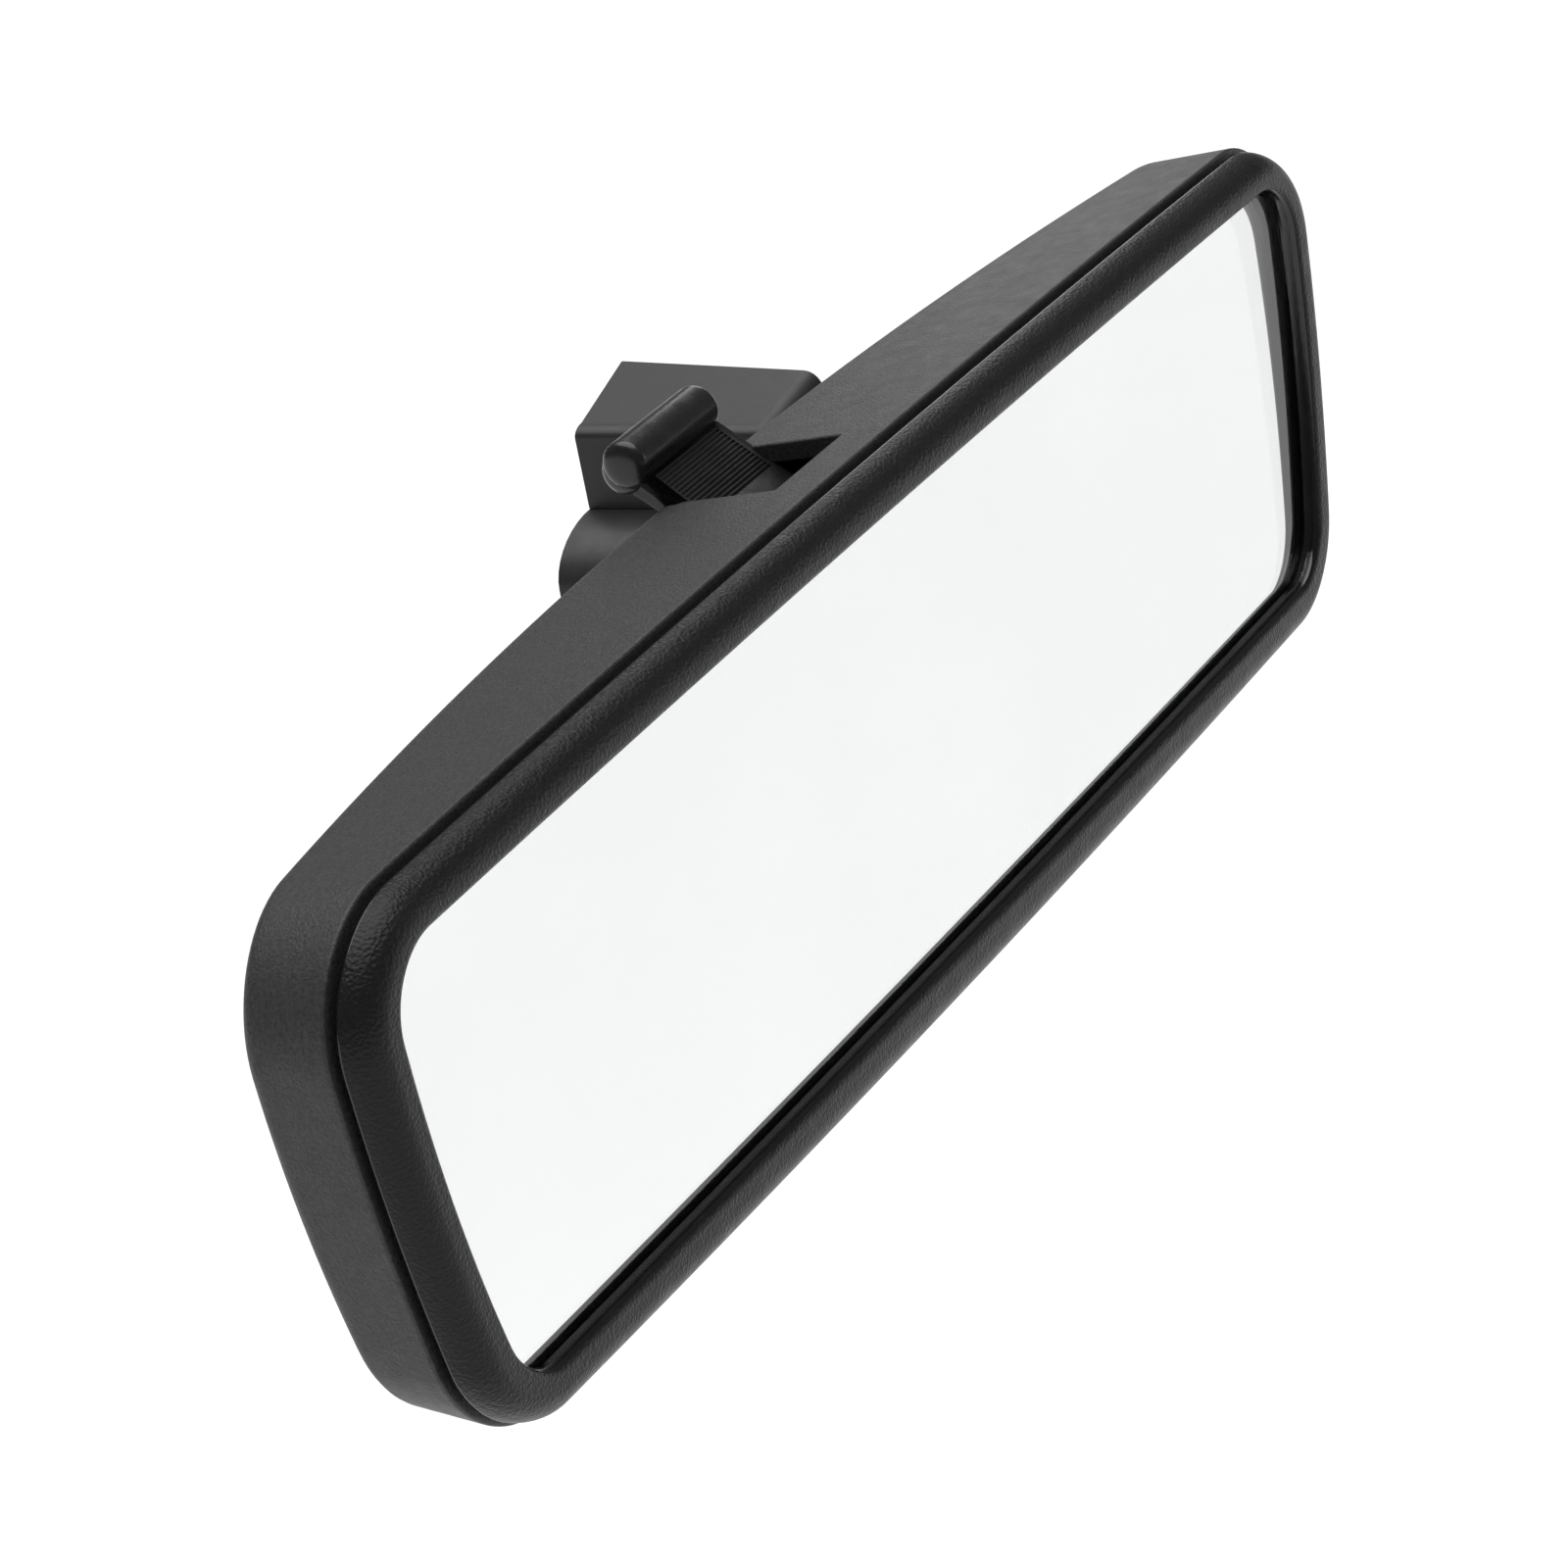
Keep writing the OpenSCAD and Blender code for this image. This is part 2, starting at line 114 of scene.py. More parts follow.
WALL = 2.4
DRAFT = 0.115
EDGE_R = 2.0
BOW_X = 0.00071
BOW_Z = 0.001
LEAN = 0.039
HOUSING_DEPTH = HOUSING_HIGH.y - LEAN ** 2 / (4 * BOW_Z)
NOTCH_HALF = 10.7            # the notch ends at the last long-edge point inside this
NOTCH_FRONT = 6.0
NOTCH_FLOOR = 26.5
LUG_FRONT = 3.4              # how far a lug reaches in front of its pin, and behind it
LUG_BEHIND = 3.6
LUG_OVERLAP = 0.8            # how far a lug's end is bedded in the wall
LEVER_LUGS = 12.0            # inner faces of the lever's lugs, either side of the middle
HINGE_LUGS = 18.7
SOCKET_OPENING_R = 15.0
LUG_T = 2.6
PIN_R = 1.5

SEAM_GAP = 1.0
BEZEL_CREST = -BEZEL_LOW.y
RIM_W = 5.45
RIM_EXTRA = 1.1
GLASS_FACE = millimetre_box("mirror_glass")[0].y
GLASS_INSET = 4.4
PRISM = math.radians(2.4)
GLASS_T = 2.9

TAB_W = 18.4
TAB_L = 19.85
TAB_T = 3.0
TAB_ANGLE = math.radians(37)
GROOVES = 14
GROOVE_PITCH = 0.565
GROOVE_START = 8.9
ROLL_R = 2.9
ROLL_X = -0.85               # the roll sits a little off the tab's middle
ROLL_PAST_TAB = 0.65
ROLL_Y = -1.8
NOSE_R = 2.8
NOSE_Y = -0.35
FINGER_DROP = 5.4
FINGER_R = 1.6
HUB_R = 3.2
HUB_HALF = 11.7

# ---------- mesh helpers ----------


def new_object(name, mesh):
    obj = bpy.data.objects.new(name, mesh)
    bpy.context.scene.collection.objects.link(obj)
    return obj


def mesh_object(name, points, faces):
    """A smooth-shaded object from points in millimetres in the head's frame."""
    mesh = bpy.data.meshes.new(name)
    mesh.from_pydata([metres(*p) for p in points], [], faces)
    tidy = bmesh.new()
    tidy.from_mesh(mesh)
    bmesh.ops.remove_doubles(tidy, verts=tidy.verts, dist=1e-7)
    bmesh.ops.recalc_face_normals(tidy, faces=tidy.faces)
    tidy.to_mesh(mesh)
    tidy.free()
    mesh.shade_smooth()
    return new_object(name, mesh)


def bevel(obj, width, segments=3, angle=40):
    """Rounds the edges sharper than angle."""
    rounding = obj.modifiers.new("bevel", "BEVEL")
    rounding.width = width * MM
    rounding.segments = segments
    rounding.limit_method = "ANGLE"
    rounding.angle_limit = math.radians(angle)
    rounding.use_clamp_overlap = True
    rounding.harden_normals = False
    rounding.miter_outer = "MITER_ARC"


def even_shading(obj):
    """Keeps flat faces flat beside their rounded edges."""
    obj.data.shade_smooth()
    weighted = obj.modifiers.new("normals", "WEIGHTED_NORMAL")
    weighted.keep_sharp = False
    weighted.weight = 60


def boolean(obj, other, operation):
    """Cuts other from obj or joins it, and removes other."""
    cut = obj.modifiers.new(operation.lower(), "BOOLEAN")
    cut.operation = operation
    cut.object = other
    cut.solver = "EXACT"
    apply_modifiers(obj)
    bpy.data.objects.remove(other)


def apply_modifiers(obj):
    """Swaps the object's mesh for the one that its modifiers make."""
    graph = bpy.context.evaluated_depsgraph_get()
    graph.update()
    made = bpy.data.meshes.new_from_object(obj.evaluated_get(graph))
    obj.modifiers.clear()
    obj.data = made


def loop_faces(start_a, start_b, n, keep=None):
    """Quads between two closed rings of n points."""
    return [(start_a + i, start_a + (i + 1) % n, start_b + (i + 1) % n, start_b + i)
            for i in range(n) if keep is None or keep(i)]


def arc_points(cx, cy, rx, ry, start, stop, steps):
    """Points of an elliptical arc round (cx, cy), between two angles in degrees."""
    made = []
    for i in range(steps + 1):
        a = math.radians(start + (stop - start) * i / steps)
        made.append((cx + rx * math.cos(a), cy + ry * math.sin(a)))
    return made


def end_faces(n, last):
    """The two flat ends of a closed shape: its first ring of n points, and the ring that starts at last."""
    return [tuple(range(n)), tuple(range(last + n - 1, last - 1, -1))]


def block(name, y0, y1, z0, z1, x0, x1):
    """A small block, given by its sides."""
    points = [(x, y, z) for x in (x0, x1) for y, z in ((y0, z0), (y1, z0), (y1, z1), (y0, z1))]
    return mesh_object(name, points, loop_faces(0, 4, 4) + end_faces(4, 4))


def turned(name, profile, centre, segments=32):
    """A solid of revolution about X. profile: (radius, distance along X)."""
    points = []
    faces = []
    for r, t in profile:
        for k in range(segments):
            a = 2 * math.pi * k / segments
            points.append([centre[0] + t, centre[1] + r * math.cos(a), centre[2] + r * math.sin(a)])
    for j in range(len(profile) - 1):
        faces += loop_faces(j * segments, (j + 1) * segments, segments)
    return mesh_object(name, points, faces)


# ---------- outline of the head ----------

CORNER_STEPS = 20
SIDE_STEPS = 14
STOP_PITCH = 5.1325                     # between points of the long edges
STOPS_PER_HALF = 20
NOTCH_STOPS = (8.2, 10.3043, 12.6)      # closer points near the notch, in place of the second one


def long_stops():
    """Places of the points along a long edge, from right to left."""
    half = [STOP_PITCH * i for i in range(STOPS_PER_HALF) if i != 2] + list(NOTCH_STOPS)
    return sorted({round(side * x, 4) for x in half for side in (-1, 1)}, reverse=True)


def rounded(hw, hh, rt, rb):
    """A rounded rectangle with the same count of points at any size. Long edges keep fixed stops."""
    def corner(cx, cz, r, start):
        return [(cx + r * math.cos(math.radians(start + 90 * i / CORNER_STEPS)),
                 cz + r * math.sin(math.radians(start + 90 * i / CORNER_STEPS)))
                for i in range(CORNER_STEPS + 1)]

    def side(x, z0, z1):
        return [(x, z0 + (z1 - z0) * i / SIDE_STEPS) for i in range(1, SIDE_STEPS)]

    stops = long_stops()
    top = [(x, hh) for x in stops]
    bottom = [(x, -hh) for x in reversed(stops)]
    return (corner(hw - rt, hh - rt, rt, 0) + top + corner(rt - hw, hh - rt, rt, 90)
            + side(-hw, hh - rt, rb - hh) + corner(rb - hw, rb - hh, rb, 180) + bottom
            + corner(hw - rb, rb - hh, rb, 270) + side(hw, rb - hh, hh - rt))


def outline(inset, extra=0.0):
    """The head's outline moved inwards by inset, and by extra more at the sides and below."""
    hw = HALF_W - inset - extra
    hh = HALF_H - inset - extra / 2
    made = []
    top_r = max(CORNER_TOP - CORNER_FADE * inset, 2)
    bottom_r = max(CORNER_BOTTOM - CORNER_FADE * inset, 2)
    for x, z in rounded(hw, hh, top_r, bottom_r):
        u = x / hw
        v = z / hh
        if v > 0:
            crown = CROWN_TOP - CROWN_FADE_TOP * inset
        else:
            crown = CROWN_BOTTOM - CROWN_FADE_BOTTOM * inset
        made.append((x * (1 + SIDE_FLARE * z / hw) + CROWN_SIDE * u * (1 - v * v),
                     z + crown * v * (1 - u * u) + MID_Z + extra / 2))
    return made


def band(name, profile):
    """A closed band: profile, a list of (inset, extra, y), swept round the outline."""
    points = []
    faces = []
    n = len(outline(0))
    for j, (inset, extra, y) in enumerate(profile):
        points += [(x, y, z) for x, z in outline(inset, extra)]
        faces += loop_faces(j * n, (j + 1) % len(profile) * n, n)
    return mesh_object(name, points, faces)


# ---------- rear housing ----------

def back_y(x, z, depth):
    """Depth of the housing's bowed and leaning back at (x, z)."""
    h = z - MID_Z
    return depth - BOW_X * x * x - BOW_Z * h * h + LEAN * h


def wall_point(p, y, extra):
    """A point of the outline at depth y, moved inwards by the draft and by extra."""
    k = DRAFT * y + extra
    return p[0] * (1 - k / HALF_W), y, MID_Z + (p[1] - MID_Z) * (1 - k / HALF_H)


FRONT_RINGS = (0, 0.5, 3, NOTCH_FRONT)           # depths of the first rings
WALL_RINGS = (0.25, 0.5, 0.75, 1)                # the next, as fractions of the wall behind them
EDGE_STEP = 15                                   # degrees between the rings of the rounded rear edge
BACK_RINGS = 12                                  # between the notch's floor and the socket opening
NOTCH_FRONT_RING = len(FRONT_RINGS) - 1
NOTCH_FLOOR_RING = len(FRONT_RINGS) + len(WALL_RINGS) + 90 // EDGE_STEP


def housing_rings(inset, depth):
    """Rings of one skin of the housing, from the front edge over the back to the socket opening."""
    edge = outline(inset)
    rings = [[wall_point(p, y, 0) for p in edge] for y in FRONT_RINGS]
    for f in WALL_RINGS:
        rings.append([wall_point(p, NOTCH_FRONT + f * (back_y(*p, depth) - EDGE_R - NOTCH_FRONT), 0)
                      for p in edge])
    for a in range(EDGE_STEP, 91, EDGE_STEP):
        turn = math.radians(a)
        rings.append([wall_point(p, back_y(*p, depth) - EDGE_R * (1 - math.sin(turn)),
                                 EDGE_R * (1 - math.cos(turn))) for p in edge])
    rim = rings[-1]
    top = max(q[2] for q in rim)
    first = (top - NOTCH_FLOOR) / (top - BALL_AT.z - SOCKET_OPENING_R)
    for s in [first] + [first + (1 - first) * i / BACK_RINGS for i in range(1, BACK_RINGS + 1)]:
        ring = []
        for q in rim:
            away = Vector((q[0] - BALL_AT.x, q[2] - BALL_AT.z)).normalized() * SOCKET_OPENING_R
            x = q[0] + s * (away.x + BALL_AT.x - q[0])
            z = q[2] + s * (away.y + BALL_AT.z - q[2])
            ring.append((x, back_y(x, z, depth), z))
        rings.append(ring)
    return rings


def rear_housing():
    """Outer and inner skins, joined at the front edge, round the socket opening and round the notch."""
    outer = housing_rings(0, HOUSING_DEPTH)
    inner = housing_rings(WALL, HOUSING_DEPTH - WALL)
    n = len(outer[0])
    notch_rows = range(NOTCH_FRONT_RING, NOTCH_FLOOR_RING)
    in_notch = {i for i, p in enumerate(outline(0)) if abs(p[0]) < NOTCH_HALF and p[1] > 0}
    points = []
    for skin in (outer, inner):
        for j, ring in enumerate(skin):
            for i, (x, y, z) in enumerate(ring):
                on_floor = i in in_notch and j == NOTCH_FLOOR_RING
                points.append((x, y, NOTCH_FLOOR if on_floor else z))
    total = n * len(outer)

    def kept(j):
        return lambda i: not (j in notch_rows and i in in_notch and (i + 1) % n in in_notch)

    skin = []
    for j in range(len(outer) - 1):
        skin += loop_faces(j * n, (j + 1) * n, n, kept(j))
    directed = {(f[k], f[(k + 1) % 4]) for f in skin for k in range(4)}
    faces = skin + [tuple(total + k for k in reversed(f)) for f in skin]
    faces += [(b, a, total + a, total + b) for a, b in directed if (b, a) not in directed]
    used = sorted({k for f in faces for k in f})
    renumber = {k: i for i, k in enumerate(used)}
    shell = mesh_object("housing_shell", [points[k] for k in used],
                        [tuple(renumber[k] for k in f) for f in sorted(faces)])
    bevel(shell, 0.35, angle=50)
    apply_modifiers(shell)
    past_pin = 4
    for at, inside, low, high in (
            (LEVER_AT, LEVER_LUGS, LEVER_AT.z - past_pin, MID_Z + HALF_H - LUG_OVERLAP),
            (HINGE_AT, HINGE_LUGS, MID_Z - HALF_H + LUG_OVERLAP, HINGE_AT.z + past_pin)):
        for side in (-1, 1):
            boolean(shell, lug(at, side, inside, low, high), "UNION")
    even_shading(shell)
    return shell


def lug(at, side, inside, low, high):
    """A bored lug inside the housing."""
    x0, x1 = sorted((side * inside, side * (inside + LUG_T)))
    made = block("lug", at.y - LUG_FRONT, at.y + LUG_BEHIND, low, high, x0, x1)
    bore_r = PIN_R + 0.03
    bore = turned("bore", [(0, x0 - 1), (bore_r, x0 - 1), (bore_r, x1 + 1), (0, x1 + 1)], (0, at.y, at.z))
    boolean(made, bore, "DIFFERENCE")
    return made


# ---------- bezel and mirror ----------

def bezel():
    """The rim's cross-section, swept round the outline: outer rounding, inner lip, flange in the housing."""
    crest = 4.1
    edge = 0.6
    lip_r = 1.1
    fit = 0.2
    rear = BEZEL_HIGH.y
    foot = GLASS_FACE + 0.02
    flange = WALL + fit + DRAFT * rear
    outer = arc_points(crest, -SEAM_GAP, crest - edge, BEZEL_CREST - SEAM_GAP, 180, 270, 18)
    inner = arc_points(RIM_W - lip_r, lip_r - BEZEL_CREST, lip_r, lip_r, 270, 360, 10)
    profile = ([(flange, 0, rear), (WALL + fit, 0, 0), (WALL + fit, 0, -SEAM_GAP)]
               + [(inset, 0, y) for inset, y in outer]
               + [(inset, RIM_EXTRA, y) for inset, y in inner]
               + [(RIM_W, RIM_EXTRA, foot), (GLASS_INSET - fit, 0, foot), (GLASS_INSET - fit, 0, rear)])
    return band("bezel_rim", profile)


def prism_rear(z, behind=0.0):
    """Depth of the leaning plane behind the glass face, at height z."""
    return GLASS_FACE + GLASS_T + behind + (z - MID_Z) * math.tan(PRISM)


def wedge(name, inset, front, rear, chamfer):
    """A plate with the head's outline, between two depths that are functions of height."""
    rings = []
    for face, shrink, depth in ((front, chamfer, 0.0), (front, 0.0, chamfer),
                                (rear, 0.0, -chamfer), (rear, chamfer, 0.0)):
        rings.append([(x, face(z) + depth, z) for x, z in outline(inset + shrink)])
    n = len(rings[0])
    points = [p for ring in rings for p in ring]
    faces = [f for j in range(3) for f in loop_faces(j * n, (j + 1) * n, n)]
    faces += end_faces(n, 3 * n)
    plate = mesh_object(name, points, faces)
    plate.data.set_sharp_from_angle(angle=math.radians(20))
    return plate


def mirror_glass():
    """The wedge-shaped glass, with its edges ground."""
    return wedge("glass_plate", GLASS_INSET, lambda z: GLASS_FACE, prism_rear, 0.25)


def mirror_coating():
    """The silver layer, bedded a little into the glass so that no air shows between them."""
    return wedge("silver_layer", GLASS_INSET + 0.3, lambda z: prism_rear(z, -0.02),
                 lambda z: prism_rear(z, 0.18), 0.04)


# ---------- lever ----------

def tilted(points):
    """Points of the upright lever (X across, Y forward of the tab, Z along it), at its day angle."""
    turn = Matrix.Rotation(TAB_ANGLE - math.pi / 2, 3, "X")
    return [LEVER_AT + turn @ Vector(p) for p in points]


def domed_bar(name, half_length, y, z, r, end_depth):
    """A bar across the lever, with shallow ends that round into its side."""
    steps = 64
    rings = 16
    squareness = 2 / 2.7
    half_profile = []
    for k in range(rings + 1):
        a = math.radians(90 * k / rings)
        half_profile.append((half_length - end_depth + end_depth * math.cos(a) ** squareness,
                             r * math.sin(a) ** squareness))
    profile = [(-x, s) for x, s in half_profile] + half_profile[::-1]
    turns = [2 * math.pi * k / steps for k in range(steps)]
    points = [(ROLL_X + x, y + s * math.cos(a), z + s * math.sin(a)) for x, s in profile for a in turns]
    faces = [f for j in range(len(profile) - 1) for f in loop_faces(j * steps, (j + 1) * steps, steps)]
    return mesh_object(name, tilted(points), faces)


def lever_blade():
    """The flat tab, rounded at its foot."""
    half = TAB_W / 2
    corner = 2.2
    outline_points = (arc_points(half - corner, corner, corner, corner, 270, 360, 6)
                      + [(half, TAB_L), (-half, TAB_L)]
                      + arc_points(corner - half, corner, corner, corner, 180, 270, 6))
    n = len(outline_points)
    points = [(x, side * TAB_T / 2, z) for side in (-1, 1) for x, z in outline_points]
    blade = mesh_object("blade", tilted(points), loop_faces(0, n, n) + end_faces(n, n))
    bevel(blade, 0.55, segments=4)
    apply_modifiers(blade)
    return blade


def groove_cutter():
    """One closed comb, whose rounded teeth cut the grip grooves into the tab's front face."""
    half = 7.5
    base = -TAB_T / 2 - 0.5
    land = -TAB_T / 2 - 0.02
    depth = 0.24
    steps = 12
    roundness = 2.5
    profile = [(base, GROOVE_START - GROOVE_PITCH / 2)]
    for i in range(GROOVES * steps + 1):
        z = GROOVE_START + (i / steps - 0.5) * GROOVE_PITCH
        wave = abs(math.sin(math.pi * i / steps)) ** roundness
        profile.append((land + depth * wave, z))
    profile.append((base, GROOVE_START + (GROOVES - 0.5) * GROOVE_PITCH))
    n = len(profile)
    points = [(x, y, z) for x in (-half, half) for y, z in profile]
    return mesh_object("comb", tilted(points), loop_faces(0, n, n) + end_faces(n, n))


def lever_hub():
    """The bored hub on the lever's pin, with the finger below it that works the bracket's jaws."""
    edge = 0.3
    bore = PIN_R + 0.06
    hub = turned("hub", [(bore, -HUB_HALF), (HUB_R - edge, -HUB_HALF), (HUB_R, edge - HUB_HALF),
                         (HUB_R, HUB_HALF - edge), (HUB_R - edge, HUB_HALF), (bore, HUB_HALF),
                         (bore, -HUB_HALF)], LEVER_AT, 64)
    half_t = 1.1
    half_w = 5
    bottom = LEVER_AT.z - FINGER_DROP
    top = LEVER_AT.z - HUB_R + 0.8
    web = block("web", LEVER_AT.y - half_t, LEVER_AT.y + half_t, bottom, top, -half_w, half_w)
    finger = turned("finger", [(0, -half_w), (FINGER_R, -half_w), (FINGER_R, half_w), (0, half_w)],
                    LEVER_AT - Vector((0, 0, FINGER_DROP)))
    for part in (web, finger):
        boolean(hub, part, "UNION")
    return hub


def lever():
    """Tab with its grooves, nose and roll at the tip, and hub, as one moulding."""
    body = lever_blade()
    boolean(body, groove_cutter(), "DIFFERENCE")
    nose = domed_bar("nose", TAB_W / 2, NOSE_Y, TAB_L, NOSE_R, 1.8)
    roll = domed_bar("roll", TAB_W / 2 + ROLL_PAST_TAB, ROLL_Y, TAB_L, ROLL_R, 1.5)
    for part in (nose, roll, lever_hub()):
        boolean(body, part, "UNION")
    body.name = "lever_moulding"
    body.data.shade_smooth()
    body.data.set_sharp_from_angle(angle=math.radians(45))
    return body


# ---------- foot ----------

COVER_WALL = 2.0
COVER_FALL = 0.057
COVER_NOSE = 2.4
COVER_SIDE = 10.65           # height of the straight left side
SHOULDER_W = 2.2
SHOULDER_H = 1.3


def cover_section(y, drop, shrink):
    """The cover's cross-section at depth y: sloping top, rounded shoulder, straight sides."""
    left = COVER_LOW.x + shrink
    right = COVER_HIGH.x - shrink
    low = COVER_LOW.z - shrink
    side_top = COVER_LOW.z + COVER_SIDE - shrink - drop
    top = COVER_HIGH.z - COVER_FALL * (COVER_HIGH.y - y) - shrink - drop
    turns = [math.pi / 2 * k / 6 for k in range(7)]
    shoulder = [(left + SHOULDER_W - SHOULDER_W * math.sin(a),
                 side_top - SHOULDER_H + SHOULDER_H * math.cos(a)) for a in turns]
    return ([(left, y, low), (right, y, low), (right, y, top - 0.6), (right - 0.2, y, top - 0.2),
             (right - 0.6, y, top - 0.1)] + [(x, y, z) for x, z in shoulder])


def cover_solid(name, shrink):
    """The cover's sections from its rounded nose back to the windscreen, shrunk on all sides."""
    front = COVER_LOW.y + shrink
    rings = []
    for degrees in range(0, 91, 9):
        a = math.radians(degrees)
        rings.append(cover_section(front + COVER_NOSE * (1 - math.cos(a)),
                                   COVER_NOSE * (1 - math.sin(a)), shrink))
    rings.append(cover_section(COVER_HIGH.y - shrink, 0, shrink))
    n = len(rings[0])
    faces = [f for j in range(len(rings) - 1) for f in loop_faces(j * n, (j + 1) * n, n)]
    faces += end_faces(n, (len(rings) - 1) * n)
    return mesh_object(name, [p for ring in rings for p in ring], faces)


def foot_cover():
    """A thin shell, open below."""
    cover = cover_solid("cover_shell", 0)
    boolean(cover, cover_solid("cover_inside", COVER_WALL), "DIFFERENCE")
    bevel(cover, 0.35)
    even_shading(cover)
    return cover


# ---------- materials ----------

def new_material(name):
    """A material, its node tree and its Principled shader."""
    material = bpy.data.materials.new(name)
    material.use_nodes = True
    tree = material.node_tree
    shader = tree.nodes["Principled BSDF"]
    return material, tree, shader


def place_coordinates(tree):
    return tree.nodes.new("ShaderNodeTexCoord").outputs["Object"]


def noise_field(tree, per_metre, detail, roughness=0.5, stretch=(1, 1, 1)):
    """Noise fixed to the object, with per_metre waves a metre."""
    mapping = tree.nodes.new("ShaderNodeMapping")
    mapping.inputs["Scale"].default_value = stretch
    field = tree.nodes.new("ShaderNodeTexNoise")
    field.inputs["Scale"].default_value = per_metre
    field.inputs["Detail"].default_value = detail
    field.inputs["Roughness"].default_value = roughness
    tree.links.new(place_coordinates(tree), mapping.inputs["Vector"])
    tree.links.new(mapping.outputs["Vector"], field.inputs["Vector"])
    return field.outputs["Fac"]


def pebbles(tree, per_metre):
    """Soft round cells, as in a leather grain."""
    cells = tree.nodes.new("ShaderNodeTexVoronoi")
    cells.feature = "SMOOTH_F1"
    cells.inputs["Scale"].default_value = per_metre
    cells.inputs["Smoothness"].default_value = 0.35
    cells.inputs["Randomness"].default_value = 1.0
    tree.links.new(place_coordinates(tree), cells.inputs["Vector"])
    return cells.outputs["Distance"]


NOISE_LOW = 0.3              # most of a noise field lies between these
NOISE_HIGH = 0.7


def remapped(tree, value, low, high):
    """A noise value taken to the range low to high."""
    change = tree.nodes.new("ShaderNodeMapRange")
    change.inputs["From Min"].default_value = NOISE_LOW
    change.inputs["From Max"].default_value = NOISE_HIGH
    change.inputs["To Min"].default_value = low
    change.inputs["To Max"].default_value = high
    tree.links.new(value, change.inputs["Value"])
    return change.outputs["Result"]


def two_tone(tree, value, dark, light):
    """A noise value taken to a colour between two close tones."""
    ramp = tree.nodes.new("ShaderNodeValToRGB")
    ramp.color_ramp.elements[0].position = NOISE_LOW
    ramp.color_ramp.elements[1].position = NOISE_HIGH
    ramp.color_ramp.elements[0].color = (*dark, 1)
    ramp.color_ramp.elements[1].color = (*light, 1)
    tree.links.new(value, ramp.inputs["Fac"])
    return ramp.outputs["Color"]


def add_bump(tree, shader, height, depth, before=None):
    """Bump of a real depth in millimetres."""
    bump = tree.nodes.new("ShaderNodeBump")
    bump.inputs["Strength"].default_value = 1.0
    bump.inputs["Distance"].default_value = depth * MM
    tree.links.new(height, bump.inputs["Height"])
    if before is not None:
        tree.links.new(before, bump.inputs["Normal"])
    tree.links.new(bump.outputs["Normal"], shader.inputs["Normal"])
    return bump.outputs["Normal"]


def moulded_plastic(name, dark, light, rough, grain_per_mm, grain_depth, pebble=False, specular=0.3):
    """Plastic with a moulded grain, coarse and fine, and a slightly uneven gloss."""
    fine_per_mm = 9
    material, tree, shader = new_material(name)
    shader.inputs["Specular IOR Level"].default_value = specular
    tone = noise_field(tree, 0.8 * grain_per_mm / MM, 3)
    tree.links.new(two_tone(tree, tone, dark, light), shader.inputs["Base Color"])
    tree.links.new(remapped(tree, noise_field(tree, 400, 4), rough - 0.05, rough + 0.05),
                   shader.inputs["Roughness"])
    coarse = pebbles(tree, grain_per_mm / MM) if pebble else noise_field(tree, grain_per_mm / MM, 2, 0.6)
    first = add_bump(tree, shader, coarse, grain_depth)
    add_bump(tree, shader, noise_field(tree, fine_per_mm / MM, 2), grain_depth * 0.25, first)
    return material


def metal(name, dark, light, rough, stretch):
    """Metal with a fine grain, drawn out along one axis by stretch."""
    material, tree, shader = new_material(name)
    shader.inputs["Metallic"].default_value = 1.0
    grain = noise_field(tree, 3000, 4, 0.6, stretch)
    tree.links.new(two_tone(tree, grain, dark, light), shader.inputs["Base Color"])
    tree.links.new(remapped(tree, grain, rough - 0.06, rough + 0.08), shader.inputs["Roughness"])
    add_bump(tree, shader, grain, 0.002)
    return material


def clear_glass():
    material, tree, shader = new_material("glass")
    shader.inputs["Transmission Weight"].default_value = 1.0
    shader.inputs["IOR"].default_value = 1.52
    shader.inputs["Roughness"].default_value = 0.0
    tint = noise_field(tree, 30, 1)
    tree.links.new(two_tone(tree, tint, (0.975, 0.985, 0.98), (0.985, 0.99, 0.987)),
                   shader.inputs["Base Color"])
    return material


def silver():
    material, tree, shader = new_material("silver")
    shader.inputs["Metallic"].default_value = 1.0
    shader.inputs["Roughness"].default_value = 0.0
    cloud = noise_field(tree, 25, 2)
    tree.links.new(two_tone(tree, cloud, (0.815, 0.82, 0.823), (0.83, 0.835, 0.838)),
                   shader.inputs["Base Color"])
    return material


def foam():
    material, tree, shader = new_material("foam")
    tree.links.new(two_tone(tree, noise_field(tree, 900, 3), (0.03, 0.03, 0.032), (0.07, 0.07, 0.072)),
                   shader.inputs["Base Color"])
    shader.inputs["Roughness"].default_value = 0.95
    add_bump(tree, shader, pebbles(tree, 1600), 0.25)
    return material


